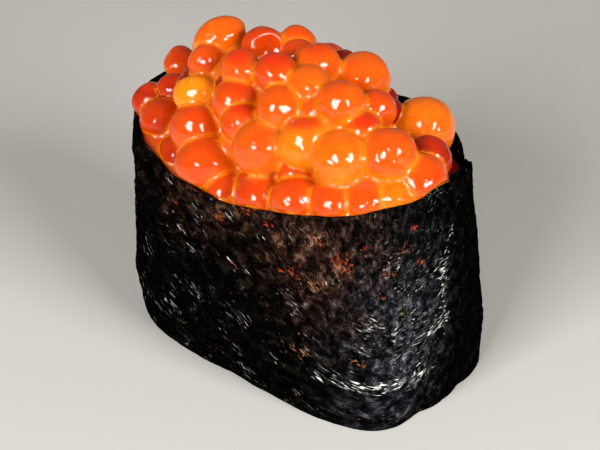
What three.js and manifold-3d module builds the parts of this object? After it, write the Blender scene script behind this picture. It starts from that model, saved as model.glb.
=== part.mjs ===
// Gunkan sushi: an oval nori band standing on pressed rice and filled with a heap of salmon roe.
// Millimetres, +Z up, long axis on X, origin at the middle of the underside.
import * as THREE from 'three';
import { mergeVertices } from 'three/addons/utils/BufferGeometryUtils.js';
import Module from 'manifold-3d';

const wasm = await Module();
wasm.setup();

// Oval of the nori band, at the underside and at the rim
const baseOval = { halfLength: 22.6, halfWidth: 11.5, squareness: 3.8 };
const rimOval = { halfLength: 24.0, halfWidth: 14.6, squareness: 2.35 };
const flareCurve = 2.2;            // the wall leans out early and then stands nearly upright
const bandHeight = 32;
// The rim isn't level: it rises and falls round the oval, with two shallow dips (turns in degrees)
const rimSway = { endwise: 0.9, sidewise: 2.0, saddle: 1.0, twist: 0.3 };
const rimDips = [
  { turn: 22, spread: 16, depth: 1.6 },
  { turn: 235, spread: 12, depth: 1.2 },
];
const foldReach = 0.8;             // the folds' largest depth
const bulge = 0.5;                 // fullness at half height
const footCrease = { rise: 7, spread: 2.4, depth: 0.7 };

// Nori sheet
const sheetThickness = 0.6;
const innerEnd = 10;               // degrees, where the strip starts inside the overlap
const outerEnd = 406;              // degrees, where its free end stands
const lapStart = 352;
const lapDone = 368;
const lapStep = 1.0;               // the outer lap lies this far outside the inner one
const lapSink = 0.6;               // the inner end is tucked in by this
const tuckStart = 18;
const tuckDone = 50;
const flapStart = 388;
const flapOpening = 3.2;           // the free end's foot stands off the wall
const flapTopShare = 0.15;
const sheetColumns = 84;
const sheetRows = 8;

// Clear space between neighbours, and the facets of the plugs that fill the band
const clearance = 0.35;
const plugColumns = 32;
const plugRows = 2;
const heapRings = 4;

// Rice
const riceTop = 22;
const riceFloor = 0.5;             // the grains stand below the pressed core
const grain = { length: 6.4, width: 2.8, height: 2.5, lift: 0.5 };
const grainGrid = { spacing: 5.0, rowSpacing: 3.3, scatter: 0.25, fill: 0.8 };

// Roe
const roeFloor = riceTop + clearance;
const roeSeat = { near: 1.3, far: -1.6 };    // height of the rim eggs' centres over its edge
const heap = { edgeInset: 3.8, middle: 33.2, lift: 8.6, fullness: 3.0, coreDepth: 1.5 };
const heapLean = { endwise: -2.0, sidewise: -1.2 };
const roeScatter = { sideways: 0.5, upright: 0.5 };
// Egg diameters side by side round the heap, from the rim inwards: level 1 is the rim ring
const roeRings = [
  {
    level: 1,
    start: 207,
    sizes: [
      4.6, 5.1, 5.0, 6.9, 4.5, 4.8, 5.3, 4.8, 5.0, 4.3, 5.9, 5.3, 7.4, 5.4, 5.0, 5.8, 5.2, 6.2, 4.8,
      5.5, 4.6,
    ],
  },
  {
    level: 0.86,
    start: 207,
    sizes: [4.2, 4.8, 6.0, 4.9, 6.3, 4.4, 6.0, 6.4, 6.4, 5.0, 5.6, 4.9, 5.8, 5.2, 6.0, 5.3],
  },
  { level: 0.66, start: 174, sizes: [5.6, 4.4, 5.4, 5.3, 4.6, 5.3, 4.8, 4.6, 6.1, 5.2, 5.6, 4.9] },
  { level: 0.41, start: 172, sizes: [5.0, 4.7, 4.8, 5.6, 5.5, 5.2, 4.8] },
  { level: 0.13, start: 40, sizes: [5.4, 4.8] },
];

const degrees = Math.PI / 180;
const { lerp, smoothstep } = THREE.MathUtils;

// Repeatable random numbers from 0 to 1
function makeRandom(seed) {
  let state = seed;
  return () => {
    state = (state * 1664525 + 1013904223) % 4294967296;
    return state / 4294967296;
  };
}

// Point of an oval between the base and the rim, at a turn in radians
function ovalPoint(turn, share) {
  const halfLength = lerp(baseOval.halfLength, rimOval.halfLength, share);
  const halfWidth = lerp(baseOval.halfWidth, rimOval.halfWidth, share);
  const squareness = lerp(baseOval.squareness, rimOval.squareness, share);
  const x = Math.cos(turn);
  const y = Math.sin(turn);
  const reach = (Math.abs(x) ** squareness + Math.abs(y) ** squareness) ** (-1 / squareness);
  return new THREE.Vector2(halfLength * x * reach, halfWidth * y * reach);
}

// Height of the band's upper edge at a turn
function rimHeight(turn) {
  const place = ovalPoint(turn, 1);
  const way = Math.atan2(place.y, place.x);
  let height = bandHeight + rimSway.endwise * Math.cos(way) + rimSway.sidewise * Math.sin(way);
  height += rimSway.saddle * Math.cos(2 * way) + rimSway.twist * Math.sin(2 * way);
  for (const dip of rimDips) {
    const away = THREE.MathUtils.euclideanModulo(way / degrees - dip.turn + 180, 360) - 180;
    height -= dip.depth * Math.exp(-((away / dip.spread) ** 2));
  }
  return height;
}

// Soft folds of the damp sheet: how far it stands out of the plain oval
function foldDepth(turn, z) {
  const upright = 0.28 * Math.sin(9 * turn + 0.12 * z) + 0.18 * Math.sin(17 * turn - 0.2 * z + 1);
  const slanting = 0.2 * Math.sin(5 * turn + 0.55 * z) + 0.12 * Math.sin(13 * turn - 0.7 * z + 2);
  const crease = footCrease.depth * Math.exp(-(((z - footCrease.rise) / footCrease.spread) ** 2));
  return upright + slanting + crease;
}

// Point of the band's outer face, moved inwards by inset
function wallPoint(turn, z, inset) {
  return plainWallPoint(turn, z, inset - foldDepth(turn, z));
}

// The same on the plain oval, without the sheet's folds
function plainWallPoint(turn, z, inset) {
  const rise = Math.min(1, Math.max(0, z / rimHeight(turn)));
  const share = 1 - (1 - rise) ** flareCurve;
  const place = ovalPoint(turn, share);
  const ahead = ovalPoint(turn + 0.01, share);
  const behind = ovalPoint(turn - 0.01, share);
  const outward = new THREE.Vector2(ahead.y - behind.y, behind.x - ahead.x).normalize();
  const stand = bulge * Math.sin(Math.PI * rise) - inset;
  return new THREE.Vector3(place.x + outward.x * stand, place.y + outward.y * stand, z);
}

function toSolid(geometry) {
  const bare = geometry.clone();
  bare.deleteAttribute('normal');
  bare.deleteAttribute('uv');
  const merged = mergeVertices(bare, 1e-4);
  const vertProperties = new Float32Array(merged.attributes.position.array);
  const triVerts = new Uint32Array(merged.index.array);
  return new wasm.Manifold(new wasm.Mesh({ numProp: 3, vertProperties, triVerts }));
}

function toGeometry(solid) {
  const mesh = solid.getMesh();
  const geometry = new THREE.BufferGeometry();
  geometry.setAttribute('position', new THREE.BufferAttribute(mesh.vertProperties, 3));
  geometry.setIndex(new THREE.BufferAttribute(mesh.triVerts, 1));
  geometry.computeVertexNormals();
  return geometry;
}

// The outer shell alone, so that a hollow sealed between fused pieces is filled
function outerShell(solid) {
  return solid.decompose().reduce((best, shell) => (shell.volume() > best.volume() ? shell : best));
}

// Moves every vertex of a geometry by a rule
function reshape(geometry, rule) {
  const position = geometry.attributes.position;
  const point = new THREE.Vector3();
  for (let i = 0; i < position.count; i += 1) {
    point.fromBufferAttribute(position, i);
    const moved = rule(point);
    position.setXYZ(i, moved.x, moved.y, moved.z);
  }
  return geometry;
}

// Upright plug that follows the inside of the band, from a floor to a top given by a rule
function plugGeometry(floor, topRule, rings) {
  const inset = sheetThickness + clearance + foldReach;
  const profile = [new THREE.Vector2(0, 0)];
  for (let row = 0; row <= plugRows; row += 1) {
    profile.push(new THREE.Vector2(1, row / plugRows));
  }
  for (let ring = rings - 1; ring >= 0; ring -= 1) {
    profile.push(new THREE.Vector2(ring / rings, 1));
  }
  return reshape(new THREE.LatheGeometry(profile, plugColumns), (point) => {
    const turn = Math.atan2(-point.z, point.x);
    const share = Math.hypot(point.x, point.z);
    const foot = plainWallPoint(turn, floor, inset);
    const edge = plainWallPoint(turn, topRule(foot.x, foot.y), inset);
    if (share > 0.999) {
      return plainWallPoint(turn, lerp(floor, edge.z, point.y), inset);
    }
    const x = edge.x * share;
    const y = edge.y * share;
    return new THREE.Vector3(x, y, point.y > 0.5 ? topRule(x, y) : floor);
  });
}

// One closed sheet: outer and inner faces share the same triangles, and four edges join them
function noriWrap() {
  const face = new THREE.PlaneGeometry(1, 1, sheetColumns, sheetRows);
  const place = (inset) => (point) => {
    const turnDegrees = lerp(innerEnd, outerEnd, point.x + 0.5);
    const turn = turnDegrees * degrees;
    const rise = point.y + 0.5;
    const tuck = lapSink * (1 - smoothstep(turnDegrees, tuckStart, tuckDone));
    const lap = (lapStep - lapSink) * smoothstep(turnDegrees, lapStart, lapDone);
    const opened = Math.max(0, (turnDegrees - flapStart) / (outerEnd - flapStart));
    const flap = flapOpening * opened ** 1.4 * lerp(1, flapTopShare, rise);
    return wallPoint(turn, rise * rimHeight(turn), inset + tuck - lap - flap);
  };
  const outer = reshape(face.clone(), place(0)).attributes.position.array;
  const inner = reshape(face.clone(), place(sheetThickness)).attributes.position.array;
  const count = outer.length / 3;
  const index = [];
  const grid = face.index.array;
  for (let i = 0; i < grid.length; i += 3) {
    index.push(grid[i], grid[i + 1], grid[i + 2]);
    index.push(count + grid[i], count + grid[i + 2], count + grid[i + 1]);
  }
  const wide = sheetColumns + 1;
  const edge = [];
  for (let i = 0; i < sheetColumns; i += 1) {
    edge.push(i);
  }
  for (let j = 0; j < sheetRows; j += 1) {
    edge.push(j * wide + sheetColumns);
  }
  for (let i = sheetColumns; i > 0; i -= 1) {
    edge.push(sheetRows * wide + i);
  }
  for (let j = sheetRows; j > 0; j -= 1) {
    edge.push(j * wide);
  }
  for (let i = 0; i < edge.length; i += 1) {
    const here = edge[i];
    const next = edge[(i + 1) % edge.length];
    index.push(here, next, count + here);
    index.push(next, count + next, count + here);
  }
  const geometry = new THREE.BufferGeometry();
  const position = new Float32Array([...outer, ...inner]);
  geometry.setAttribute('position', new THREE.BufferAttribute(position, 3));
  geometry.setIndex(index);
  geometry.computeVertexNormals();
  return geometry;
}

// Pressed block with grains showing on its underside, trimmed to the band and flat where it stands
function riceBase() {
  let rice = toSolid(plugGeometry(riceFloor, () => riceTop, 1));
  const random = makeRandom(11);
  const rows = Math.ceil(baseOval.halfWidth / grainGrid.rowSpacing);
  const columns = Math.ceil(baseOval.halfLength / grainGrid.spacing);
  for (let row = -rows; row <= rows; row += 1) {
    for (let column = -columns; column <= columns; column += 1) {
      const stagger = 0.5 * (row % 2);
      const x = (column + stagger + grainGrid.scatter * (random() - 0.5)) * grainGrid.spacing;
      const y = (row + grainGrid.scatter * (random() - 0.5)) * grainGrid.rowSpacing;
      const piece = new THREE.SphereGeometry(0.5, 6, 3);
      piece.scale(grain.length, grain.width, grain.height);
      piece.rotateZ(random() * Math.PI);
      piece.translate(x, y, grain.lift * (1 + 0.4 * random()));
      const level = (x / baseOval.halfLength) ** 4 + (y / baseOval.halfWidth) ** 4;
      rice = level < grainGrid.fill ? rice.add(toSolid(piece)) : rice;
    }
  }
  const mould = toSolid(plugGeometry(0, () => riceTop, 1));
  return toGeometry(outerShell(rice.intersect(mould)));
}

// The heap stands proud of the lower, near side of the rim and below the higher, far side
function seatHeight(turn) {
  return rimHeight(turn) + lerp(roeSeat.near, roeSeat.far, smoothstep(Math.sin(turn), 0.1, 0.7));
}

function heapHeight(x, y) {
  const halfLength = rimOval.halfLength - heap.edgeInset;
  const halfWidth = rimOval.halfWidth - heap.edgeInset;
  const level = Math.hypot(x / halfLength, y / halfWidth);
  const turn = Math.atan2(y / halfWidth, x / halfLength);
  const edge = Math.min(1, level ** 2);
  const crown = Math.max(0, 1 - level ** heap.fullness);
  const slope = heapLean.endwise * (x / halfLength) + heapLean.sidewise * (y / halfWidth);
  const lean = slope * Math.max(0, 1 - level ** 2);
  return seatHeight(turn) * edge + heap.middle * (1 - edge) + heap.lift * crown + lean;
}

// Turns at which a ring's eggs lie, spaced by their own sizes
function ringTurns(ring) {
  const halfLength = ring.level * (rimOval.halfLength - heap.edgeInset);
  const halfWidth = ring.level * (rimOval.halfWidth - heap.edgeInset);
  const step = 0.5 * degrees;
  const walked = [0];
  for (let i = 1; i <= 720; i += 1) {
    const turn = ring.start * degrees + (i - 0.5) * step;
    walked.push(walked[i - 1] + step * Math.hypot(halfLength * Math.sin(turn), halfWidth * Math.cos(turn)));
  }
  const needed = ring.sizes.reduce((sum, size) => sum + size, 0);
  let along = 0;
  return ring.sizes.map((size, i) => {
    along += i > 0 ? (ring.sizes[i - 1] + size) / 2 : 0;
    const target = (along / needed) * walked[720];
    return ring.start * degrees + step * walked.findIndex((length) => length >= target);
  });
}

function eggPlace(ring, turn, size, random) {
  const shift = (random() - 0.5) * roeScatter.sideways;
  const raise = (random() - 0.5) * roeScatter.upright;
  if (ring.level === 1) {
    const above = Math.max(0, seatHeight(turn) - rimHeight(turn));
    const reach = Math.sqrt((size / 2 + clearance) ** 2 - above ** 2);
    const place = wallPoint(turn, rimHeight(turn), sheetThickness + reach + Math.abs(shift));
    place.z = seatHeight(turn);
    return place;
  }
  const x = (ring.level * (rimOval.halfLength - heap.edgeInset) + shift) * Math.cos(turn);
  const y = (ring.level * (rimOval.halfWidth - heap.edgeInset) + shift) * Math.sin(turn);
  return new THREE.Vector3(x, y, heapHeight(x, y) + raise);
}

// Core with the eggs that show fused on
function roeHeap() {
  const coreTop = (x, y) => heapHeight(x, y) - heap.coreDepth;
  let heapSolid = toSolid(plugGeometry(roeFloor, coreTop, heapRings));
  const random = makeRandom(5);
  for (const ring of roeRings) {
    const turns = ringTurns(ring);
    ring.sizes.forEach((size, i) => {
      const egg = new THREE.IcosahedronGeometry(size / 2, 1);
      egg.rotateX(random() * Math.PI);
      egg.rotateZ(random() * Math.PI);
      const place = eggPlace(ring, turns[i], size, random);
      egg.translate(place.x, place.y, place.z);
      heapSolid = heapSolid.add(toSolid(egg));
    });
  }
  return toGeometry(outerShell(heapSolid));
}

function addMesh(group, name, geometry, settings) {
  const mesh = new THREE.Mesh(geometry, new THREE.MeshStandardMaterial(settings));
  mesh.name = name;
  group.add(mesh);
}

const sushi = new THREE.Group();
addMesh(sushi, 'nori_wrap', noriWrap(), { color: 0x14170f, roughness: 0.35, metalness: 0 });
addMesh(sushi, 'rice_base', riceBase(), { color: 0xf1ede0, roughness: 0.5, metalness: 0 });
addMesh(sushi, 'roe_heap', roeHeap(), { color: 0xf2581c, roughness: 0.1, metalness: 0 });
const whole = new THREE.Box3().setFromObject(sushi);
const middle = whole.getCenter(new THREE.Vector3());
sushi.position.set(-middle.x, -middle.y, -whole.min.z);

export default sushi;
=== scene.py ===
# Gunkan sushi: a heap of salmon roe in an oval band of nori, on pressed rice
import math

import bpy
import numpy as np
from mathutils import Matrix, Vector


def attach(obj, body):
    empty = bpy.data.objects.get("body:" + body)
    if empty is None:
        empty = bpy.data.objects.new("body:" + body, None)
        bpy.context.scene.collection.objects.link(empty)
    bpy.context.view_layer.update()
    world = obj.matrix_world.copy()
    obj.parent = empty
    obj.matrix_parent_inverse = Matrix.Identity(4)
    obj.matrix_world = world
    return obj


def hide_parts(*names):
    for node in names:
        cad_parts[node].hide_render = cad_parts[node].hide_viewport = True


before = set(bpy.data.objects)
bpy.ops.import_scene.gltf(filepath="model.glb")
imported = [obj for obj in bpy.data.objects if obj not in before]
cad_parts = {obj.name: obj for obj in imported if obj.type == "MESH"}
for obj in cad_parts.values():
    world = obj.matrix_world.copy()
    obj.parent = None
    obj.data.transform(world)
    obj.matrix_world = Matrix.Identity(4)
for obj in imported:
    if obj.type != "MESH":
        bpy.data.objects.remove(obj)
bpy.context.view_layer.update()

mm = 0.001
degree = math.pi / 180

# The oval band in millimetres, as the frame's solids have it
band = {
    "centre": (-0.15, 0.08),          # the band's own middle, beside the box's because of the flap
    "baseOval": (22.6, 11.5, 3.8),    # half length, half width, squareness
    "rimOval": (24.0, 14.6, 2.35),
    "flareCurve": 2.2,
    "height": 32.0,
    "sway": (0.9, 2.0, 1.0, 0.3),     # endwise, sidewise, saddle, twist
    "dips": ((22, 16, 1.6), (235, 12, 1.2)),   # turn, spread, depth
    "bulge": 0.5,
    "folds": (                        # depth, waves round the oval, slope with the height, shift
        (0.28, 9, 0.12, 0), (0.18, 17, -0.2, 1), (0.2, 5, 0.55, 0), (0.12, 13, -0.7, 2),
    ),
    "crease": (7.0, 2.4, 0.7),        # height, spread, depth
    # folds that the thin sheet smooths out: share above, share at the foot, and the heights
    # between which the one turns into the other
    "calm": (0.35, 0.7, 1.0, 8.0),
}

# Helpers that every piece uses


def linearColour(hexCode):            # sRGB hex to linear
    parts = [int(hexCode[i:i + 2], 16) / 255 for i in (1, 3, 5)]
    flat = [c / 12.92 if c <= 0.04045 else ((c + 0.055) / 1.055) ** 2.4 for c in parts]
    return (*flat, 1.0)


def addNode(tree, kind, settings=None, links=None):
    node = tree.nodes.new(kind)
    for name, value in (settings or {}).items():
        if isinstance(name, str) and hasattr(node, name):
            setattr(node, name, value)
        else:
            node.inputs[name].default_value = value
    for name, source in (links or {}).items():
        tree.links.new(source, node.inputs[name])
    return node


def setRamp(node, stops):
    ramp = node.color_ramp
    while len(ramp.elements) < len(stops):
        ramp.elements.new(0.5)
    for element, (place, colour) in zip(ramp.elements, stops):
        element.position = place
        element.color = linearColour(colour)


def newMaterial(name):
    material = bpy.data.materials.new(name)
    material.use_nodes = True
    return material, material.node_tree.nodes["Principled BSDF"]


def applyModifier(piece, kind, settings):
    bpy.context.view_layer.objects.active = piece
    modifier = piece.modifiers.new(kind.lower(), kind)
    for name, value in settings.items():
        setattr(modifier, name, value)
    bpy.ops.object.modifier_apply(modifier=modifier.name)


def readPoints(piece):
    flat = np.empty(len(piece.data.vertices) * 3)
    piece.data.vertices.foreach_get("co", flat)
    return flat.reshape(-1, 3)


def writePoints(piece, points):
    piece.data.vertices.foreach_set("co", np.asarray(points, dtype=float).ravel())
    piece.data.update()


def writeAttributes(piece, values):
    count = len(piece.data.vertices)
    for name, value in values.items():
        layer = piece.data.attributes.new(name, "FLOAT", "POINT")
        layer.data.foreach_set("value", np.zeros(count) + value)


def copyMaster(master, points):       # a copy with its own mesh, moved to points in the frame
    piece = master.copy()
    piece.data = master.data.copy()
    bpy.context.collection.objects.link(piece)
    writePoints(piece, points)
    return piece


def joinPieces(pieces, name):
    bpy.ops.object.select_all(action="DESELECT")
    for piece in pieces:
        piece.select_set(True)
    bpy.context.view_layer.objects.active = pieces[0]
    bpy.ops.object.join()
    whole = bpy.context.object
    whole.name = name
    return whole


def placePiece(piece, material, node):
    piece.data.materials.clear()
    piece.data.materials.append(material)
    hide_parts(node)
    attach(piece, "root")


def smoothStep(x, low, high):
    t = np.clip((x - low) / (high - low), 0, 1)
    return t * t * (3 - 2 * t)


def valueNoise(u, v, cell, seed):     # smooth random relief from -1 to 1, its lumps one cell across
    lattice = np.random.RandomState(seed).uniform(-1, 1, (256, 256))
    x = u / cell + 64.5
    y = v / cell + 64.5
    i = np.floor(x).astype(int)
    j = np.floor(y).astype(int)
    a = smoothStep(x - i, 0, 1)
    b = smoothStep(y - j, 0, 1)
    i0, i1, j0, j1 = i % 256, (i + 1) % 256, j % 256, (j + 1) % 256
    low = lattice[i0, j0] * (1 - a) + lattice[i1, j0] * a
    high = lattice[i0, j1] * (1 - a) + lattice[i1, j1] * a
    return low * (1 - b) + high * b


# Forms that the frame's solids share, in millimetres; turns in radians


def ovalSize(share):                  # half length, half width and squareness, from the foot to the rim
    return [low + (high - low) * share for low, high in zip(band["baseOval"], band["rimOval"])]


def ovalPoint(turn, share):
    halfLength, halfWidth, squareness = ovalSize(share)
    x = np.cos(turn)
    y = np.sin(turn)
    reach = (np.abs(x) ** squareness + np.abs(y) ** squareness) ** (-1 / squareness)
    return halfLength * x * reach, halfWidth * y * reach


def rimHeight(turn):
    x, y = ovalPoint(turn, 1.0)
    way = np.arctan2(y, x)
    endwise, sidewise, saddle, twist = band["sway"]
    height = band["height"] + endwise * np.cos(way) + sidewise * np.sin(way)
    height = height + saddle * np.cos(2 * way) + twist * np.sin(2 * way)
    for place, spread, depth in band["dips"]:
        away = (way / degree - place + 180) % 360 - 180
        height = height - depth * np.exp(-((away / spread) ** 2))
    return height


def foldDepth(turn, z):
    folded = sum(
        depth * np.sin(waves * turn + slope * z + shift) for depth, waves, slope, shift in band["folds"]
    )
    height, spread, depth = band["crease"]
    folded = folded + depth * np.exp(-(((z - height) / spread) ** 2))
    calm, footCalm, low, high = band["calm"]
    return folded * (1 - footCalm + (footCalm - calm) * smoothStep(z, low, high))


def wallShare(turn, z):
    rise = np.clip(z / rimHeight(turn), 0, 1)
    return 1 - (1 - rise) ** band["flareCurve"]


def wallPoint(turn, z, inset):        # a point that far inside the wall
    share = wallShare(turn, z)
    x, y = ovalPoint(turn, share)
    step = 0.01                       # to either side, for the way along the wall
    aheadX, aheadY = ovalPoint(turn + step, share)
    behindX, behindY = ovalPoint(turn - step, share)
    alongX, alongY = aheadX - behindX, aheadY - behindY
    length = np.hypot(alongX, alongY)
    rise = np.clip(z / rimHeight(turn), 0, 1)
    stand = band["bulge"] * np.sin(math.pi * rise) + foldDepth(turn, z) - inset
    return np.stack([x + alongY / length * stand, y - alongX / length * stand, z + 0 * x], axis=-1)


def keepInside(points, inset):        # presses what would cross the wall back against it
    turn = np.arctan2(points[:, 1], points[:, 0] * band["rimOval"][1] / band["rimOval"][0])
    for attempt in range(2):
        low = np.minimum(points[:, 2], rimHeight(turn))
        halfLength, halfWidth, squareness = ovalSize(wallShare(turn, low))
        turn = np.arctan2(points[:, 1] / halfWidth, points[:, 0] / halfLength)
    wall = wallPoint(turn, low, inset)
    reach = np.hypot(points[:, 0], points[:, 1]) + 1e-9
    room = np.hypot(wall[:, 0], wall[:, 1]) + np.maximum(0, points[:, 2] - low)
    shrink = np.minimum(1, room / reach)
    return points * np.stack([shrink, shrink, np.ones(len(shrink))], axis=-1)


def toFrame(points):                  # band millimetres to the frame's metres
    return (np.asarray(points) + np.array([*band["centre"], 0.0])) * mm


# Nori band: one strip bent round the oval, its free end standing off the wall

nori = {
    "columns": 452,
    "rows": 108,
    "thickness": 0.26,
    "innerEnd": 10,                   # degrees
    "outerEnd": 406,
    "lap": (352, 368, 0.4),           # start, end, step outwards over the inner end
    "tuck": (18, 50, 0.6),            # the same for the inner end, inwards
    "flap": (388, 4.0, 1.4, 0.15),    # start, opening at the foot, its curve, its share at the rim
    "flapCalm": 0.6,                  # share of the folds that the free end doesn't follow
    "cornerCut": (388, 408, 3.6),     # start, end, how far the free corner is rounded down at the rim
    "rimDrop": 0.15,                  # room for the ragged edge under the solid's rim
    "ragged": ((1.6, 0.1, 23), (0.6, 0.06, 29)),    # the cut edge: size of its steps, depth, seed
    "girth": 122.0,                   # length of the wall round the oval
    "rest": 0.24,                     # kept inside the solid's outer face
    "edgeQuiet": (0.4, 0.12, 0.03),   # share of the relief at the edges, its reach from foot and rim
    "slant": (36, -10),               # degrees that the crumples run down to the right, left and right
    "swirl": (288, 360, 12.0),        # turns between which the slant changes, height of its middle
    "broad": (6.0, 0.1, 3),           # size of the lumps, depth, seed
    "crumples": ((1.9, 1.6, 0.08, 7), (0.95, 1.3, 0.09, 11)),    # size, stretch, depth, seed
    "blister": (0.6, 1.2, 0.05, 17),
    "footWrinkles": (6.8, 1.7, 1.35, 0.16),    # height, spread, spacing, depth
    "footWander": (4.0, 0.7, 31),     # size, depth, seed of the way that they run
    "footNear": (285, 318, 345, 372, 0.35),    # where they deepen and fade, share that they keep
    "pinch": (332, 12.5, 0.1, 0.7, 5.0, 0.35),    # turn, height, lean, half width, half height, depth
    "patches": {                      # each: turn, spread, height, spread, strength
        # roe juice browns the sheet below the rim, and the roe's orange light, reflected and shining
        # through, is painted there too
        "juiceStainAndRoeLight": ((309, 17, 27.0, 9.0, 1.0), (268, 26, 28.0, 5.0, 0.5)),
        # a painted grey-blue sheen, reflected light, lies low on the near end
        "paintedSheen": ((338, 20, 14.0, 11.0, 1.0), (322, 14, 2.5, 3.0, 0.4)),
        # a clear coat and painted glints gather on the crease, the near end and the turn beside the lap,
        # where folds face the lamps; the free end, out of the light, gets painted shade: neither
        "coatAndGlintPaint": (
            (328, 24, 7.6, 1.4, 0.95), (338, 14, 15.0, 8.0, 0.3), (360, 6, 20.0, 9.0, 0.7),
            # painted shade: the free end, out of the light, loses its glints and coat
            (396, 22, 14.0, 40.0, -1.6),
        ),
    },
    "fleckHeaps": (                   # turn, height, size, hue: 0 moss green, 0.5 tan, 1 rust red; the rust red heaps below the rim are partly painted light, the roe's orange reflected and shining through the sheet
        (306, 27.6, 1.0, 1.0), (312, 25.8, 1.2, 1.0), (316, 25.0, 1.1, 0.9), (297, 22.6, 1.2, 0.85),
        (305, 21.2, 1.6, 0.5), (298, 10.8, 1.6, 0.5), (290, 28.0, 0.7, 1.0), (278, 20.8, 0.9, 0.7),
        (337, 18.0, 1.9, 0.0), (338, 27.0, 1.1, 0.6), (341, 29.8, 0.8, 1.0), (327, 21.0, 0.9, 0.8),
        (262, 28.5, 1.2, 0.85), (272, 26.5, 1.3, 0.8), (283, 29.0, 1.4, 0.95), (250, 25.0, 1.1, 0.8),
        (322, 27.2, 1.0, 0.95), (331, 23.6, 1.0, 0.75), (318, 11.0, 1.0, 0.6), (345, 24.5, 0.9, 0.85),
    ),
    "bareSheet": (1e-4, 0.75),        # crowd and hue of the few flecks away from the heaps
    "looks": {
        # size of each pattern's lumps, of which only the tops show
        "patchSize": 4.0,
        "fragmentSize": 1.6,
        "crinkleSize": 1.7,
        "speckSize": 0.9,
        "ridgeSize": 0.85,
        # squeezed across the crumples, a pattern is drawn out along them, and the ridges once more
        "squeeze": (1.0, 1.6, 1.0),
        "ridgeSqueeze": (0.75, 1.8, 1.0),
        "heapPull": 0.18,             # how strongly a heap draws flecks, over the bare sheet's few
        "fleckEdge": (0.69, 0.78),
        "patchPull": 0.7,             # how strongly patches and the zones of coat and painted glints draw coated, glinting ridges
        "coatAndGlintPaintPull": 0.25,
        "coatAndGlintEdge": (1.04, 1.12),
        "patchEdge": (0.4, 0.6),
        "juiceStainAndRoeLightShare": (0.35, 1.15),   # what shows of it in the one kind of patch and in the other
        "paintedSheenShare": (1.15, 0.45),
        "grainDepth": 0.2,
        "facetDepth": 0.45,
    },
    "tones": {
        "base": ((0.42, "#010101"), (0.52, "#030303"), (0.64, "#100e0b")),
        # brown of the roe juice, with the roe's painted orange light in it
        "juiceStainAndRoeLight": (
            (0.38, "#020101"), (0.45, "#0e0705"), (0.5, "#22130d"), (0.56, "#3c251a"), (0.66, "#7c5a44"),
        ),
        # painted sheen of reflected light, grey-blue
        "paintedSheen": (
            (0.38, "#010101"), (0.45, "#0a0b0d"), (0.5, "#1a1a1f"), (0.56, "#34353b"), (0.66, "#7a7a80"),
        ),
        "fleck": ((0.0, "#52522a"), (0.5, "#7a5030"), (0.8, "#70341a"), (1.0, "#862c12")),
        # painted glints: grey to near white, brighter along the crease
        "paintedGlint": ((0.4, "#1e1c1a"), (0.52, "#3c3a36"), (0.64, "#8e8b86"), (0.8, "#f6f2ea")),
    },
}


def slantedPlace(turnDegrees, u, v):  # place along and across the crumples
    first, last, middle = nori["swirl"]
    left, right = nori["slant"]
    slant = (left + (right - left) * smoothStep(turnDegrees, first, last)) * degree
    aside = u - (first + last) / 2 / 360 * nori["girth"]
    above = v - middle
    return aside * np.cos(slant) - above * np.sin(slant), aside * np.sin(slant) + above * np.cos(slant)


def noriRelief(turnDegrees, u, v):
    along, across = slantedPlace(turnDegrees, u, v)
    size, depth, seed = nori["broad"]
    relief = depth * valueNoise(u, v, size, seed)
    for size, stretch, depth, seed in nori["crumples"]:
        relief = relief + depth * (1 - 2 * np.abs(valueNoise(along / stretch, across, size, seed)))
    size, stretch, depth, seed = nori["blister"]
    relief = relief + depth * valueNoise(along / stretch, across, size, seed)
    height, spread, spacing, wrinkleDepth = nori["footWrinkles"]
    size, depth, seed = nori["footWander"]
    off = v - height + depth * valueNoise(u, 0 * v, size, seed)
    wrinkles = wrinkleDepth * np.sin(2 * math.pi * off / spacing) * np.exp(-((off / spread) ** 2))
    rising, full, falling, gone, kept = nori["footNear"]
    near = smoothStep(turnDegrees, rising, full) * (1 - smoothStep(turnDegrees, falling, gone))
    relief = relief + wrinkles * (kept + (1 - kept) * near)
    place, height, lean, halfWidth, halfHeight, depth = nori["pinch"]
    aside = u - place / 360 * nori["girth"] + lean * (v - height)
    return relief + depth * np.exp(-((aside / halfWidth) ** 2) - ((v - height) / halfHeight) ** 2)


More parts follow.
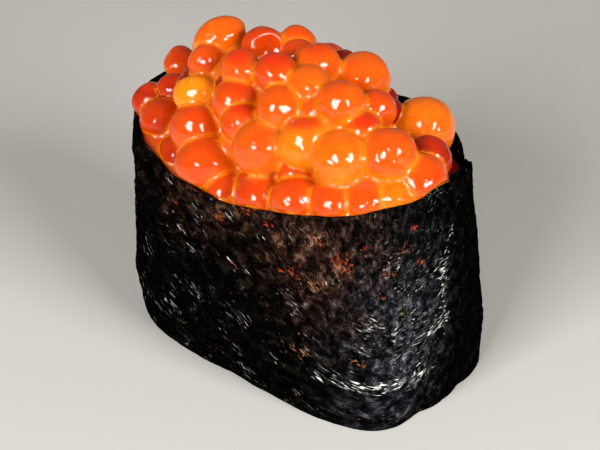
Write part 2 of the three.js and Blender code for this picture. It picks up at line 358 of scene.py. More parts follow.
def makeNori():
    bpy.ops.object.select_all(action="DESELECT")
    bpy.ops.mesh.primitive_grid_add(
        x_subdivisions=nori["columns"], y_subdivisions=nori["rows"], size=1, calc_uvs=True
    )
    sheet = bpy.context.object
    sheet.name = "nori_sheet"
    flat = readPoints(sheet)
    turnDegrees = nori["innerEnd"] + (nori["outerEnd"] - nori["innerEnd"]) * (flat[:, 0] + 0.5)
    rise = flat[:, 1] + 0.5
    turn = turnDegrees * degree
    u = turnDegrees / 360 * nori["girth"]
    ragged = sum(depth * valueNoise(u, 0 * u, size, seed) for size, depth, seed in nori["ragged"])
    cutStart, cutDone, cutDepth = nori["cornerCut"]
    corner = cutDepth * smoothStep(turnDegrees, cutStart, cutDone)
    z = rise * (rimHeight(turn) + ragged - nori["rimDrop"] - corner)
    lapStart, lapDone, lapStep = nori["lap"]
    tuckStart, tuckDone, tuckDepth = nori["tuck"]
    flapStart, flapOpening, flapCurve, topShare = nori["flap"]
    lap = lapStep * smoothStep(turnDegrees, lapStart, lapDone)
    tuck = tuckDepth * (1 - smoothStep(turnDegrees, tuckStart, tuckDone))
    opened = np.maximum(0, (turnDegrees - flapStart) / (nori["outerEnd"] - flapStart))
    flap = flapOpening * opened ** flapCurve * (1 + (topShare - 1) * rise)
    kept, footReach, rimReach = nori["edgeQuiet"]
    quiet = kept + (1 - kept) * smoothStep(np.minimum(rise / footReach, (1 - rise) / rimReach), 0, 1)
    unfolded = nori["flapCalm"] * smoothStep(turnDegrees, lapDone, flapStart) * foldDepth(turn, z)
    inset = nori["rest"] + tuck - lap - flap - noriRelief(turnDegrees, u, z) * quiet
    writePoints(sheet, toFrame(wallPoint(turn, z, inset + unfolded)))
    along, across = slantedPlace(turnDegrees, u, z)
    writeAttributes(sheet, {"along": along * mm, "across": across * mm})
    for name, patches in nori["patches"].items():
        amount = np.zeros(len(u))
        for place, turnSpread, height, heightSpread, strength in patches:
            away = ((turnDegrees - place) / turnSpread) ** 2 + ((z - height) / heightSpread) ** 2
            amount += strength * np.exp(-away)
        writeAttributes(sheet, {name: amount})
    bareCrowd, bareHue = nori["bareSheet"]
    crowd = np.full(len(u), bareCrowd)
    hue = bareHue * crowd
    for place, height, size, tone in nori["fleckHeaps"]:
        reach = np.hypot(u - place / 360 * nori["girth"], z - height) / size
        crowd += np.exp(-(reach ** 2))
        hue += tone * np.exp(-(reach ** 2))
    writeAttributes(sheet, {"crowd": np.minimum(crowd, 1), "hue": hue / crowd})
    applyModifier(sheet, "SOLIDIFY", {"thickness": nori["thickness"] * mm, "offset": -1})
    points = readPoints(sheet)
    points[:, 2] = np.maximum(points[:, 2], 0)
    writePoints(sheet, points)
    bpy.ops.object.shade_smooth()
    return sheet


# Toasted nori: seaweed pressed and dried to a thin sheet, near black under a film of leaf
# fragments, with rust, tan and moss green flecks, browned by roe juice, and a clear coat on its ridges;
# painted light on it: the roe's orange below the rim, a grey-blue sheen low on the near end, and
# glints on the coated ridges
def noriMaterial():
    looks = nori["looks"]
    material, shader = newMaterial("toasted_nori_sheet")
    tree = material.node_tree
    place = addNode(tree, "ShaderNodeTexCoord").outputs["Object"]
    along, across, juiceStainAndRoeLight, paintedSheen, coatAndGlintPaint, crowd, hue = (
        addNode(tree, "ShaderNodeAttribute", {"attribute_name": layer}).outputs["Fac"]
        for layer in ("along", "across", "juiceStainAndRoeLight", "paintedSheen", "coatAndGlintPaint", "crowd", "hue")
    )
    sheet = addNode(tree, "ShaderNodeCombineXYZ", None, {"X": along, "Y": across}).outputs["Vector"]
    slanted = addNode(
        tree, "ShaderNodeVectorMath", {"operation": "MULTIPLY", 1: looks["squeeze"]}, {0: sheet}
    ).outputs["Vector"]
    strokes = addNode(
        tree, "ShaderNodeVectorMath", {"operation": "MULTIPLY", 1: looks["ridgeSqueeze"]}, {0: slanted}
    ).outputs["Vector"]
    patch = addNode(
        tree, "ShaderNodeTexNoise",
        {"Scale": 1 / (looks["patchSize"] * mm), "Detail": 2.0}, {"Vector": place}
    ).outputs["Fac"]
    fragment = addNode(
        tree, "ShaderNodeTexNoise",
        {"Scale": 1 / (looks["fragmentSize"] * mm), "Detail": 6.0, "Roughness": 0.8, "Distortion": 0.3},
        {"Vector": sheet},
    ).outputs["Fac"]
    crinkle = addNode(
        tree, "ShaderNodeTexNoise",
        {"Scale": 1 / (looks["crinkleSize"] * mm), "Detail": 2.0, "Roughness": 0.55, "Distortion": 0.9},
        {"Vector": slanted},
    ).outputs["Fac"]
    speck = addNode(
        tree, "ShaderNodeTexNoise",
        {"Scale": 1 / (looks["speckSize"] * mm), "Detail": 3.0, "Roughness": 0.6, "Distortion": 1.0},
        {"Vector": slanted},
    ).outputs["Fac"]
    ridge = addNode(
        tree, "ShaderNodeTexNoise",
        {"Scale": 1 / (looks["ridgeSize"] * mm), "Detail": 2.0, "Distortion": 0.5}, {"Vector": strokes}
    ).outputs["Fac"]
    # flecks are rare on the bare sheet and lie in small heaps
    heaped = addNode(
        tree, "ShaderNodeMath", {"operation": "MULTIPLY_ADD", 1: looks["heapPull"]}, {0: crowd, 2: speck}
    ).outputs["Value"]
    low, high = looks["fleckEdge"]
    fleck = addNode(
        tree, "ShaderNodeMapRange", {"From Min": low, "From Max": high}, {"Value": heaped}
    ).outputs["Result"]
    # the coated ridges with painted glints crowd in patches, most of all along the crease
    patched = addNode(
        tree, "ShaderNodeMath", {"operation": "MULTIPLY_ADD", 1: looks["patchPull"]}, {0: patch, 2: ridge}
    ).outputs["Value"]
    rubbed = addNode(
        tree, "ShaderNodeMath", {"operation": "MULTIPLY_ADD", 1: looks["coatAndGlintPaintPull"]}, {0: coatAndGlintPaint, 2: patched}
    ).outputs["Value"]
    low, high = looks["coatAndGlintEdge"]
    coatAndGlintMask = addNode(
        tree, "ShaderNodeMapRange", {"From Min": low, "From Max": high}, {"Value": rubbed}
    ).outputs["Result"]
    paintedGlintTone = addNode(
        tree, "ShaderNodeMath", {"operation": "MULTIPLY_ADD", 1: looks["coatAndGlintPaintPull"]}, {0: coatAndGlintPaint, 2: crinkle}
    ).outputs["Value"]
    # the juice-browned patch with its painted roe light, and the painted sheen, come through in turns, a few
    # millimetres of each
    amounts = {"fleck": fleck, "paintedGlint": coatAndGlintMask}
    low, high = looks["patchEdge"]
    for name, zone in (("juiceStainAndRoeLight", juiceStainAndRoeLight), ("paintedSheen", paintedSheen)):
        first, second = looks[name + "Share"]
        patchy = addNode(
            tree, "ShaderNodeMapRange",
            {"From Min": low, "From Max": high, "To Min": first, "To Max": second}, {"Value": patch}
        ).outputs["Result"]
        amounts[name] = addNode(
            tree, "ShaderNodeMath", {"operation": "MULTIPLY"}, {0: zone, 1: patchy}
        ).outputs["Value"]
    # each colour is added over the sheet's own
    base = addNode(tree, "ShaderNodeValToRGB", None, {"Fac": fragment})
    setRamp(base, nori["tones"]["base"])
    colour = base.outputs["Color"]
    for name, source in (("juiceStainAndRoeLight", fragment), ("paintedSheen", fragment), ("fleck", hue), ("paintedGlint", paintedGlintTone)):
        tone = addNode(tree, "ShaderNodeValToRGB", None, {"Fac": source})
        setRamp(tone, nori["tones"][name])
        colour = addNode(
            tree, "ShaderNodeMix", {"data_type": "RGBA", "blend_type": "ADD"},
            {0: amounts[name], 6: colour, 7: tone.outputs["Color"]},
        ).outputs[2]
    tree.links.new(colour, shader.inputs["Base Color"])
    grain = addNode(
        tree, "ShaderNodeBump", {"Strength": 1.0, "Distance": looks["grainDepth"] * mm}, {"Height": fragment}
    ).outputs["Normal"]
    facets = addNode(
        tree, "ShaderNodeBump", {"Strength": 1.0, "Distance": looks["facetDepth"] * mm}, {"Height": speck}
    ).outputs["Normal"]
    tree.links.new(grain, shader.inputs["Normal"])
    tree.links.new(facets, shader.inputs["Coat Normal"])
    tree.links.new(coatAndGlintMask, shader.inputs["Coat Weight"])
    shader.inputs["Coat Roughness"].default_value = 0.08
    shader.inputs["Coat IOR"].default_value = 1.8
    shader.inputs["Roughness"].default_value = 0.5
    shader.inputs["Specular IOR Level"].default_value = 0.0
    return material


# Salmon roe: soft eggs pressed together where they meet, with juice drawn into the grooves

roe = {
    "heap": (3.8, 33.2, 8.6, 3.0),    # edge inset, middle height, lift, fullness
    "lean": (-2.0, -1.2),             # endwise, sidewise
    "seat": (1.3, -1.6),              # height over the rim on the near and far sides
    "seatTurn": (0.1, 0.7),           # sines of the turns between which the seat sinks
    "plumpness": 1.06,                # swells the placed eggs until they press on each other
    "unevenness": 0.07,
    "waves": (5, 2.5, 5.5),           # how many make an egg uneven, least and most beats in each
    "contactReach": 0.3,              # eggs further apart than this leave each other alone
    "softness": 0.14,                 # how far a contact's edge is rounded, as a share of the egg
    "overlap": 0.03,                  # pressed eggs reach this far into each other, to be joined
    "contactFade": 0.12,              # width of the painted light round a contact, as a share of the egg
    "wallGap": 0.55,
    "leftEndShade": (0.5, 11, 18),          # painted shade: shift of the tone towards dark red, millimetres from the middle where it sets in
    "oilWay": (0.05, -0.05, 1.0),     # the oil gathers at the top of each egg
    "oilSpot": (0.12, 0.68, 0.93),    # how far it strays, cosines of the spot's outer and inner edge
    "paintedLowerLightStart": (-0.4, 0.5),         # depth under the egg's middle, in radii, where the painted light on the lower half starts and is full
    "looks": {
        "cloudSize": 2.5,
        "cloud": 0.3,                 # how far the clouds shift the tone
        "paintedLowerLight": 0.1,                  # how far painted light makes an egg's lower half lighter
        "paintedContactLight": 0.45,             # how much painted light pales an amber egg's contacts
        "rippleSize": 1.7,            # size, depth and strength of the membrane's ripples
        "rippleDepth": 0.42,
        "ripple": 0.75,
        "body": (
            (0.1, "#d87a08"), (0.35, "#d05c06"), (0.6, "#c24606"), (0.85, "#ac2a04"), (1.0, "#7e1003"),
        ),
        "oil": "#b82608",
        # colour of the painted light at the eggs' contacts
        "edge": "#ea9c24",
    },
}

# Each egg: turn in degrees, level (1 is the heap's edge), height over the heap's surface and
# size across in millimetres, tone (0 amber to 1 deep red) and strength of the red oil spot
eggRows = {
    "rim": (
        (212, 1.12, -0.8, 5.0, 0.75, 0.9), (222, 1.07, -1.3, 5.5, 0.65, 0.1),
        (236, 1.03, -3.3, 5.4, 0.7, 0.0), (258, 1.06, 0.1, 6.8, 0.5, 0.2), (268, 1.09, -2.2, 4.9, 0.6, 0.1),
        (282, 1.11, -1.2, 5.4, 0.6, 0.1), (296, 1.11, -1.2, 6.0, 0.55, 0.1),
        (310, 1.11, -1.2, 5.4, 0.5, 0.0), (324, 1.10, -1.8, 5.7, 0.45, 0.0),
        (335, 1.11, -1.7, 4.8, 0.2, 0.0), (354, 1.05, -1.4, 6.6, 0.5, 0.1), (15, 0.98, -0.3, 5.5, 0.8, 0.3),
        (46, 1.02, 2.5, 7.5, 0.2, 0.0),
    ),
    "second": (
        (172, 1.09, 0.0, 4.5, 0.5, 0.4), (207, 0.94, -0.8, 4.1, 0.72, 0.6), (231, 0.80, -0.9, 5.2, 0.0, 0.0),
        (244, 0.94, 1.0, 6.4, 0.5, 0.4), (266, 0.78, -0.1, 4.9, 0.5, 0.9), (280, 0.92, 1.9, 6.5, 0.4, 0.0),
        (297, 0.88, -1.9, 4.3, 0.6, 0.1), (302, 0.82, 0.4, 6.1, 0.15, 0.8), (316, 0.93, 1.2, 6.6, 0.2, 0.1),
        (342, 0.93, 0.7, 6.6, 0.4, 0.2),
    ),
    "third": (
        (207, 0.67, -1.1, 4.4, 0.45, 0.0), (177, 0.67, 0.6, 5.6, 0.3, 0.0), (254, 0.66, -0.9, 5.5, 0.5, 0.6),
        (285, 0.61, -0.3, 5.5, 0.4, 0.2), (311, 0.51, -1.6, 3.8, 0.4, 0.0), (339, 0.70, -1.3, 5.2, 0.4, 0.9),
        (11, 0.60, -0.7, 4.9, 0.5, 0.3), (40, 0.72, -0.4, 3.4, 0.9, 0.0), (60, 0.80, 0.0, 3.4, 0.9, 0.0),
    ),
    "crown": (
        (240, 0.48, -0.2, 4.9, 0.45, 0.8), (157, 0.36, -0.8, 5.3, 0.6, 0.2),
        (269, 0.30, -0.3, 5.0, 0.55, 0.9), (317, 0.31, -0.9, 5.7, 0.3, 0.1),
        (333, 0.55, 0.4, 5.6, 0.35, 0.4), (63, 0.63, 0.5, 6.5, 0.35, 0.1),
        (114, 0.50, 0.6, 5.0, 0.45, 0.1), (66, 0.22, -0.4, 5.6, 0.4, 0.5), (80, 0.62, 1.0, 3.6, 0.85, 0.0),
        (111, 0.28, -0.7, 4.4, 0.6, 0.0),
    ),
}

# Eggs with a form of their own, by row and place: a stretch (way, amount), or a dent (way, share
# of the radius where it starts, depth, of which 1 would press it flat)
oddEggs = {
    ("rim", 3): {"stretch": ((0.74, 0.67, 0.0), 1.12)},
    ("second", 2): {"stretch": ((0.74, 0.67, 0.0), 1.13)},
    ("second", 7): {"stretch": ((0.74, 0.67, 0.0), 1.1)},
    ("third", 1): {"stretch": ((0.43, 0.72, 0.38), 1.28)},
    ("crown", 1): {"dent": ((0.8, -0.5, 0.32), 0.72, 1.75)},
}

# Eggs placed by rule: the far side of the heap, and the layer under the visible one
usualEgg = 5.3
farSide = {
    "rows": ((1.0, 70, 150), (0.8, 92, 140), (0.62, 92, 140)),    # level, first and last turn
    "across": (0.85 * usualEgg, 1.15 * usualEgg),
    "rise": 0.4,                      # up or down
    "tone": (0.2, 0.8),
    "oil": (0, 0.8),
    "pace": 0.95,                     # from one egg to the next, as a share of its size
}
underSide = {
    "levels": (0.93, 0.72, 0.5, 0.26),
    "firstTurn": (0, 40),
    "round": 350,                     # degrees that each row fills
    "across": (0.9 * usualEgg, 1.15 * usualEgg),
    "depth": 4.3,
    "rise": 0.3,
    "tone": (0.4, 0.9),
    "pace": 0.98,
}


def heapHeight(x, y):
    edgeInset, middle, lift, fullness = roe["heap"]
    halfLength = band["rimOval"][0] - edgeInset
    halfWidth = band["rimOval"][1] - edgeInset
    level = np.hypot(x / halfLength, y / halfWidth)
    turn = np.arctan2(y / halfWidth, x / halfLength)
    near, far = roe["seat"]
    seat = rimHeight(turn) + near + (far - near) * smoothStep(np.sin(turn), *roe["seatTurn"])
    edge = np.minimum(1, level ** 2)
    crown = np.maximum(0, 1 - level ** fullness)
    endwise, sidewise = roe["lean"]
    lean = (endwise * x / halfLength + sidewise * y / halfWidth) * np.maximum(0, 1 - level ** 2)
    return seat * edge + middle * (1 - edge) + lift * crown + lean


def ringPlace(turnDegrees, level):
    turn = turnDegrees * degree
    x = level * (band["rimOval"][0] - roe["heap"][0]) * math.cos(turn)
    y = level * (band["rimOval"][1] - roe["heap"][0]) * math.sin(turn)
    return x, y


def newEgg(turnDegrees, level, rise, across, tone, oil):
    x, y = ringPlace(turnDegrees, level)
    centre = np.array([x, y, float(heapHeight(x, y)) + rise])
    return {"centre": centre, "radius": across / 2, "tone": tone, "oil": oil}


def ringStep(turnDegrees, level, distance):      # turn that goes so far along a ring
    x, y = ringPlace(turnDegrees, level)
    aheadX, aheadY = ringPlace(turnDegrees + 1, level)
    return turnDegrees + distance / math.hypot(aheadX - x, aheadY - y)


def placedEggs():
    eggs = []
    for row, places in eggRows.items():
        for i, place in enumerate(places):
            egg = newEgg(*place)
            egg["radius"] *= roe["plumpness"]
            eggs.append({**egg, **oddEggs.get((row, i), {})})
    return eggs


def leftEndShadeTone(x):                        # painted shade: towards the far left end the roe's tone runs to dark red
    amount, start, done = roe["leftEndShade"]
    return amount * smoothStep(-x, start, done)


def ruledEggs():
    chance = np.random.RandomState(41)
    eggs = []
    for level, turn, lastTurn in farSide["rows"]:
        while turn < lastTurn:
            across = chance.uniform(*farSide["across"])
            rise = chance.uniform(-farSide["rise"], farSide["rise"])
            tone = chance.uniform(*farSide["tone"])
            oil = chance.uniform(*farSide["oil"])
            eggs.append(newEgg(turn, level, rise, across, tone, oil))
            turn = ringStep(turn, level, across * farSide["pace"])
    for level in underSide["levels"]:
        turn = chance.uniform(*underSide["firstTurn"])
        lastTurn = turn + underSide["round"]
        while turn < lastTurn:
            across = chance.uniform(*underSide["across"])
            rise = chance.uniform(-underSide["rise"], underSide["rise"]) - underSide["depth"]
            egg = newEgg(turn, level, rise, across, chance.uniform(*underSide["tone"]), 0.0)
            egg["tone"] += leftEndShadeTone(egg["centre"][0])
            eggs.append(egg)
            turn = ringStep(turn, level, across * underSide["pace"])
    return eggs


def shapeEgg(egg, others, ball, seed):
    chance = np.random.RandomState(seed)
    radius = egg["radius"]
    swell = np.ones(len(ball))
    waves, leastBeat, mostBeat = roe["waves"]
    for wave in range(waves):
        axis = chance.normal(size=3)
        axis = axis / np.linalg.norm(axis)
        beat = chance.uniform(leastBeat, mostBeat)
        swell += roe["unevenness"] / beat * np.sin(beat * ball @ axis + chance.uniform(0, 6))
    points = ball * (radius * swell)[:, None]
    if "stretch" in egg:
        way, amount = egg["stretch"]
        way = np.array(way) / np.linalg.norm(way)
        points = points * amount ** -0.5 + np.outer(points @ way, way) * (amount - amount ** -0.5)
    if "dent" in egg:
        way, start, push = egg["dent"]
        way = np.array(way) / np.linalg.norm(way)
        over = np.maximum(0, points @ way - start * radius)
        points = points - np.outer(over * push, way)
    contact = np.zeros(len(ball))
    for other in others:
        apart = other["centre"] - egg["centre"]
        distance = np.linalg.norm(apart)
        if other is egg or distance > radius + other["radius"] + roe["contactReach"]:
            continue
        normal = apart / distance
        plane = (distance ** 2 + radius ** 2 - other["radius"] ** 2) / (2 * distance) + roe["overlap"]
        soft = roe["softness"] * radius
        over = points @ normal - plane
        pressed = np.where(over > -soft, (over + soft) ** 2 / (4 * soft), 0)
        pressed = np.where(over > soft, over, pressed)
        # nearness to a contact, where painted light pales the egg
        contact = np.maximum(contact, np.exp(-((np.minimum(over, 0) / (roe["contactFade"] * radius)) ** 2)))
        points = points - normal * pressed[:, None]
    stray, outer, inner = roe["oilSpot"]
    way = np.array(roe["oilWay"]) + chance.normal(size=3) * stray
    oil = egg["oil"] * smoothStep(ball @ way / np.linalg.norm(way), outer, inner)
    # painted light: each egg is lighter towards its bottom, for light passing through it
    paintedLowerLight = smoothStep(-ball[:, 2], *roe["paintedLowerLightStart"])
    points = keepInside(points + egg["centre"], roe["wallGap"])
    return points, {"tone": egg["tone"], "contact": contact, "oil": oil, "paintedLowerLight": paintedLowerLight}


def makeEggs(eggs):
    bpy.ops.object.select_all(action="DESELECT")
    bpy.ops.mesh.primitive_ico_sphere_add(subdivisions=4, radius=1.0)
    master = bpy.context.object
    bpy.ops.object.shade_smooth()
    ball = readPoints(master)
    ball = ball / np.linalg.norm(ball, axis=1)[:, None]
    pieces = []
    for i, egg in enumerate(eggs):
        points, looks = shapeEgg(egg, eggs, ball, 1 + i)
        piece = copyMaster(master, toFrame(points))
        writeAttributes(piece, looks)
        pieces.append(piece)
    bpy.data.objects.remove(master)
    return pieces


# Salmon roe: a thin clear membrane round orange oil and juice, wet and softly see-through; the
# juice that joins the eggs is the same stuff. Painted light, for light passing through, makes each
# egg's lower half lighter and its contacts and the juice paler
def roeMaterial():
    looks = roe["looks"]
    material, shader = newMaterial("salmon_roe_membrane")
    tree = material.node_tree
    tone, contact, oil, paintedLowerLight = (
        addNode(tree, "ShaderNodeAttribute", {"attribute_name": layer}).outputs["Fac"]
        for layer in ("tone", "contact", "oil", "paintedLowerLight")
    )
    place = addNode(tree, "ShaderNodeTexCoord").outputs["Object"]
    cloud = addNode(
        tree, "ShaderNodeTexNoise",
        {"Scale": 1 / (looks["cloudSize"] * mm), "Detail": 2.0}, {"Vector": place}
    ).outputs["Fac"]
    # cloudiness shifts the tone by a tenth or two, and painted light makes the lower half lighter
    cloudy = addNode(
        tree, "ShaderNodeMath", {"operation": "MULTIPLY_ADD", 1: looks["cloud"]}, {0: cloud, 2: tone}
    ).outputs["Value"]
    lighter = addNode(
        tree, "ShaderNodeMath", {"operation": "MULTIPLY_ADD", 1: -looks["paintedLowerLight"]}, {0: paintedLowerLight, 2: cloudy}
    ).outputs["Value"]
    body = addNode(tree, "ShaderNodeValToRGB", None, {"Fac": lighter})
    setRamp(body, looks["body"])
    oiled = addNode(
        tree, "ShaderNodeMix", {"data_type": "RGBA", 7: linearColour(looks["oil"])},
        {0: oil, 6: body.outputs["Color"]},
    ).outputs[2]
    # the deeper red the egg, the less painted light pales its contacts
    paintedLightByTone = addNode(
        tree, "ShaderNodeMapRange",
        {"From Min": 0.2, "From Max": 1.0, "To Min": looks["paintedContactLight"], "To Max": 0.0}, {"Value": tone}
    ).outputs["Result"]
    contactLightShare = addNode(
        tree, "ShaderNodeMath", {"operation": "MULTIPLY"}, {0: contact, 1: paintedLightByTone}
    ).outputs["Value"]
    contactLit = addNode(
        tree, "ShaderNodeMix", {"data_type": "RGBA", 7: linearColour(looks["edge"])}, {0: contactLightShare, 6: oiled}
    ).outputs[2]
    tree.links.new(contactLit, shader.inputs["Base Color"])
    ripple = addNode(
        tree, "ShaderNodeTexNoise",
        {"Scale": 1 / (looks["rippleSize"] * mm), "Detail": 1.5}, {"Vector": place}
    ).outputs["Fac"]
    bump = addNode(
        tree, "ShaderNodeBump", {"Strength": looks["ripple"], "Distance": looks["rippleDepth"] * mm},
        {"Height": ripple},
    ).outputs["Normal"]
    tree.links.new(bump, shader.inputs["Coat Normal"])
    shader.inputs["Roughness"].default_value = 0.4
    shader.inputs["IOR"].default_value = 1.38
    shader.inputs["Specular IOR Level"].default_value = 0.0
    shader.inputs["Subsurface Weight"].default_value = 1.0
    shader.inputs["Subsurface Radius"].default_value = (1.0, 0.4, 0.15)
    shader.inputs["Subsurface Scale"].default_value = 1.2 * mm
    shader.inputs["Coat Weight"].default_value = 1.0
    shader.inputs["Coat IOR"].default_value = 1.46
    shader.inputs["Coat Roughness"].default_value = 0.02
    return material


# Plugs inside the band: the juice that the roe lies in, and the rice under it

plug = {
    "columns": 128,
    "rings": 64,
    "roeFloor": 22.35,
    "riceTop": 22.0,
    "riceFloor": 0.8,
    "underEggs": 1.75,                # how far the juice's core lies below the eggs' middles
    "voxel": 0.3,
    "smoothing": (0.6, 6),            # strength, and rounds that widen the film's fillets
    "shrink": 0.08,
    "juiceTone": (0.36, 0.15, 4.0, 5),    # middle, variation, size of the clouds, seed
}


def makePlug(name, floor, topRule, inset):
    bpy.ops.object.select_all(action="DESELECT")
    bpy.ops.mesh.primitive_uv_sphere_add(segments=plug["columns"], ring_count=plug["rings"], radius=1.0)
    piece = bpy.context.object
    piece.name = name
    ball = readPoints(piece)
    turn = np.arctan2(ball[:, 1], ball[:, 0])
    latitude = np.arcsin(np.clip(ball[:, 2], -1, 1)) / (math.pi / 2)
    wallLow, wallHigh = -0.5, -0.1    # latitudes between which the ball becomes the wall
    foot = wallPoint(turn, np.full(len(turn), float(floor)), inset)
    edgeTop = topRule(foot[:, 0], foot[:, 1])
    side = np.clip((latitude - wallLow) / (wallHigh - wallLow), 0, 1)
    edge = wallPoint(turn, floor + (edgeTop - floor) * side, inset)
    share = np.clip(np.minimum((latitude + 1) / (wallLow + 1), (1 - latitude) / (1 - wallHigh)), 0, 1)
    x = edge[:, 0] * share
    y = edge[:, 1] * share
    z = np.where(latitude < wallLow, floor, np.where(latitude > wallHigh, topRule(x, y), edge[:, 2]))
    writePoints(piece, toFrame(np.stack([x, y, z], axis=-1)))
    return piece


def makeJuice(eggs):
    # a film drawn over all the eggs together: it shows only in the grooves, where it rounds them
    def topRule(x, y):
        return heapHeight(x, y) - plug["underEggs"]
    core = makePlug("core", plug["roeFloor"], topRule, roe["wallGap"])
    bed = [copyMaster(egg, readPoints(egg)) for egg in eggs]
    juice = joinPieces([core] + bed, "juice")
    applyModifier(juice, "REMESH", {"mode": "VOXEL", "voxel_size": plug["voxel"] * mm})
    factor, rounds = plug["smoothing"]
    applyModifier(juice, "SMOOTH", {"factor": factor, "iterations": rounds})
    applyModifier(juice, "DISPLACE", {"strength": -plug["shrink"] * mm, "mid_level": 0.0})
    for layer in ("tone", "contact", "oil", "paintedLowerLight"):
        if layer in juice.data.attributes:
            juice.data.attributes.remove(juice.data.attributes[layer])
    points = readPoints(juice) / mm
    middle, variation, size, seed = plug["juiceTone"]
    tone = middle + variation * valueNoise(points[:, 0], points[:, 1], size, seed)
    tone += leftEndShadeTone(points[:, 0])
    # the film carries painted light too: some of the contacts' paleness and of the lower halves' lightening
    writeAttributes(juice, {"tone": tone, "contact": 0.4, "oil": 0.0, "paintedLowerLight": 0.2})
    return juice


def makeRoe(eggs):
    # eggs and juice become one skin, so light scatters from one to the other
    pieces = makeEggs(eggs)
    roeHeap = makeJuice(pieces)
    holder = bpy.data.collections.new("eggs")
    for piece in pieces:
        holder.objects.link(piece)
    bpy.context.view_layer.objects.active = roeHeap
    applyModifier(roeHeap, "BOOLEAN", {
        "operand_type": "COLLECTION", "collection": holder, "operation": "UNION", "solver": "MANIFOLD",
    })
    for piece in pieces:
        bpy.data.objects.remove(piece)
    bpy.data.collections.remove(holder)
    roeHeap.name = "salmon_roe"
    roeHeap.select_set(True)
    bpy.ops.object.shade_smooth()
    return roeHeap


# Pressed rice: a white block under the roe, its grains showing on the underside

rice = {
    "grain": (3.2, 1.4, 1.25),        # half length, half width, half height
    "size": (0.92, 1.06),             # shares of the usual grain
    "curve": 0.06,
    "spacing": (3.6, 2.5),
    "stray": 0.15,                    # share of the spacing
    "field": (19.8, 9.6),             # half length and half width that the grains fill
    "middle": 0.8,                    # height of a grain's middle over the foot
    "lift": 0.35,                     # most that chance adds to it
    "pressed": 0.2,                   # share of the lift left under a grain, so that no two are level
    "coreGap": 0.75,
    "grainGap": 0.9,
}


def makeRice():
    core = makePlug(
        "rice_core", plug["riceFloor"], lambda x, y: np.full(np.shape(x), plug["riceTop"]), rice["coreGap"]
    )
    bpy.ops.object.shade_smooth()
    bpy.ops.object.select_all(action="DESELECT")
    bpy.ops.mesh.primitive_ico_sphere_add(subdivisions=3, radius=1.0)
    master = bpy.context.object
    bpy.ops.object.shade_smooth()
    ball = readPoints(master)
    chance = np.random.RandomState(8)
    pieces = [core]
    stray = rice["stray"]
    columnGap, rowGap = rice["spacing"]
    halfLength, halfWidth = rice["field"]
    lastColumn = math.ceil(halfLength / columnGap)
    lastRow = math.ceil(halfWidth / rowGap)
    for row in range(-lastRow, lastRow + 1):
        for column in range(-lastColumn, lastColumn + 1):
            x = (column + 0.5 * (row % 2) + chance.uniform(-stray, stray)) * columnGap
            y = (row + chance.uniform(-stray, stray)) * rowGap
            yaw = chance.uniform(0, math.pi)
            grain = ball * rice["grain"] * chance.uniform(*rice["size"])
            grain[:, 1] += rice["curve"] * grain[:, 0] ** 2 * chance.uniform(-1, 1)
            lift = chance.uniform(0, rice["lift"])
            if (abs(x) / halfLength) ** 4 + (abs(y) / halfWidth) ** 4 > 1:
                continue
            turned = grain.copy()
            turned[:, 0] = grain[:, 0] * math.cos(yaw) - grain[:, 1] * math.sin(yaw) + x
            turned[:, 1] = grain[:, 0] * math.sin(yaw) + grain[:, 1] * math.cos(yaw) + y
            turned[:, 2] = np.maximum(grain[:, 2] + rice["middle"] + lift, rice["pressed"] * lift)
            pieces.append(copyMaster(master, toFrame(keepInside(turned, rice["grainGap"]))))
    bpy.data.objects.remove(master)
    return joinPieces(pieces, "pressed_rice")


# Cooked rice: moist starch, white and slightly see-through
def riceMaterial():
    material, shader = newMaterial("cooked_rice")
    tree = material.node_tree
    place = addNode(tree, "ShaderNodeTexCoord").outputs["Object"]
    cloud = addNode(
        tree, "ShaderNodeTexNoise", {"Scale": 1 / (1.2 * mm), "Detail": 3.0}, {"Vector": place}
    ).outputs["Fac"]
    body = addNode(tree, "ShaderNodeValToRGB", None, {"Fac": cloud})
    setRamp(body, ((0.3, "#e9e0c8"), (0.55, "#f3eee0"), (0.75, "#faf7ee")))
    tree.links.new(body.outputs["Color"], shader.inputs["Base Color"])
    bump = addNode(tree, "ShaderNodeBump", {"Strength": 0.25, "Distance": 0.1 * mm}, {"Height": cloud})
    tree.links.new(bump.outputs["Normal"], shader.inputs["Normal"])
    shader.inputs["Roughness"].default_value = 0.32
    shader.inputs["Subsurface Weight"].default_value = 0.5
    shader.inputs["Subsurface Radius"].default_value = (1.0, 0.85, 0.6)
    shader.inputs["Subsurface Scale"].default_value = 1.0 * mm
    return material


# Studio: pale floor, two soft boxes a little below the camera's height, and the camera

studio = {
    "target": (-2.0, 2.9, 16.0),      # band millimetres
    "azimuth": 42.5,
    "elevation": 32.0,
    "roll": -0.5,
    "distance": 260.0,
    "lens": 118.86,                   # mm, with a 36 mm sensor
    "boxes": {                        # degrees aside of the camera and up, metres across, watts
        "soft_box_left": (-31, -5, 0.25, 4.2),
        "soft_box_right": (39, -5, 0.23, 3.7),
    },
    "boxDistance": 0.55,
    "world": ("#f5f1ea", 0.17),       # colour, strength
    "floor": ("#c0bdb7", 3.0, 0.02),  # colour, metres across, millimetres below the foot
}


def wayFrom(azimuth, elevation):
    a = azimuth * degree
    e = elevation * degree
    return Vector((math.sin(a) * math.cos(e), -math.cos(a) * math.cos(e), math.sin(e)))


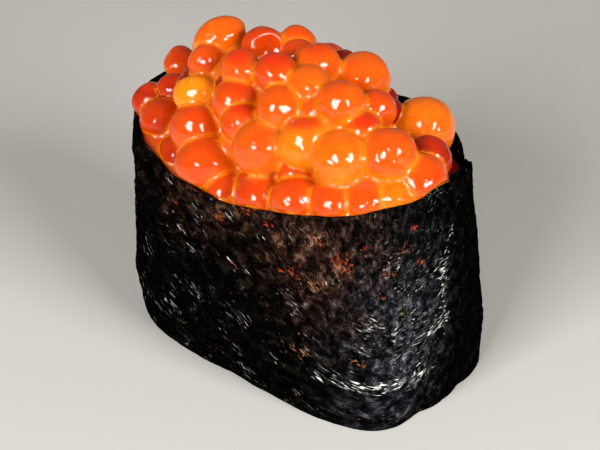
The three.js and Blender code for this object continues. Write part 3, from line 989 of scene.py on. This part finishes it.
def makeStudio():
    target = Vector(toFrame(studio["target"]))
    back = wayFrom(studio["azimuth"], studio["elevation"])
    right = Vector((0, 0, 1)).cross(back).normalized()
    up = back.cross(right)
    roll = studio["roll"] * degree
    rolledRight = right * math.cos(roll) + up * math.sin(roll)
    rolledUp = up * math.cos(roll) - right * math.sin(roll)
    bpy.ops.object.camera_add()
    camera = bpy.context.object
    camera.name = "camera"
    camera.data.sensor_width = 36
    camera.data.lens = studio["lens"]
    camera.data.clip_start = 0.01
    turned = Matrix((rolledRight, rolledUp, back)).transposed().to_4x4()
    camera.matrix_world = Matrix.Translation(target + back * studio["distance"] * mm) @ turned
    bpy.context.scene.camera = camera
    for name, (aside, lift, across, power) in studio["boxes"].items():
        way = wayFrom(studio["azimuth"] + aside, studio["elevation"] + lift)
        bpy.ops.object.light_add(type="AREA", location=target + way * studio["boxDistance"])
        box = bpy.context.object
        box.name = name
        box.data.shape = "SQUARE"
        box.data.size = across
        box.data.energy = power
        box.rotation_euler = way.to_track_quat("Z", "Y").to_euler()
    paperColour, across, below = studio["floor"]
    bpy.ops.mesh.primitive_plane_add(size=across, location=(0, 0, -below * mm))
    floor = bpy.context.object
    floor.name = "floor"
    # matt paper: pressed fibres that show no gloss
    paper, shader = newMaterial("matt_paper")
    shader.inputs["Base Color"].default_value = linearColour(paperColour)
    shader.inputs["Roughness"].default_value = 0.9
    shader.inputs["Specular IOR Level"].default_value = 0.0
    floor.data.materials.append(paper)
    world = bpy.data.worlds.new("studio_light")
    world.use_nodes = True
    worldColour, strength = studio["world"]
    world.node_tree.nodes["Background"].inputs["Color"].default_value = linearColour(worldColour)
    world.node_tree.nodes["Background"].inputs["Strength"].default_value = strength
    bpy.context.scene.world = world
    bpy.context.scene.view_settings.view_transform = "Standard"


noriSheet = makeNori()
placePiece(noriSheet, noriMaterial(), "nori_wrap")
print("nori sheet:", len(noriSheet.data.polygons), "faces")

eggs = placedEggs() + ruledEggs()
salmonRoe = makeRoe(eggs)
placePiece(salmonRoe, roeMaterial(), "roe_heap")
print("salmon roe:", len(eggs), "eggs,", len(salmonRoe.data.polygons), "faces")

riceBlock = makeRice()
placePiece(riceBlock, riceMaterial(), "rice_base")
print("rice:", len(riceBlock.data.polygons), "faces")

makeStudio()
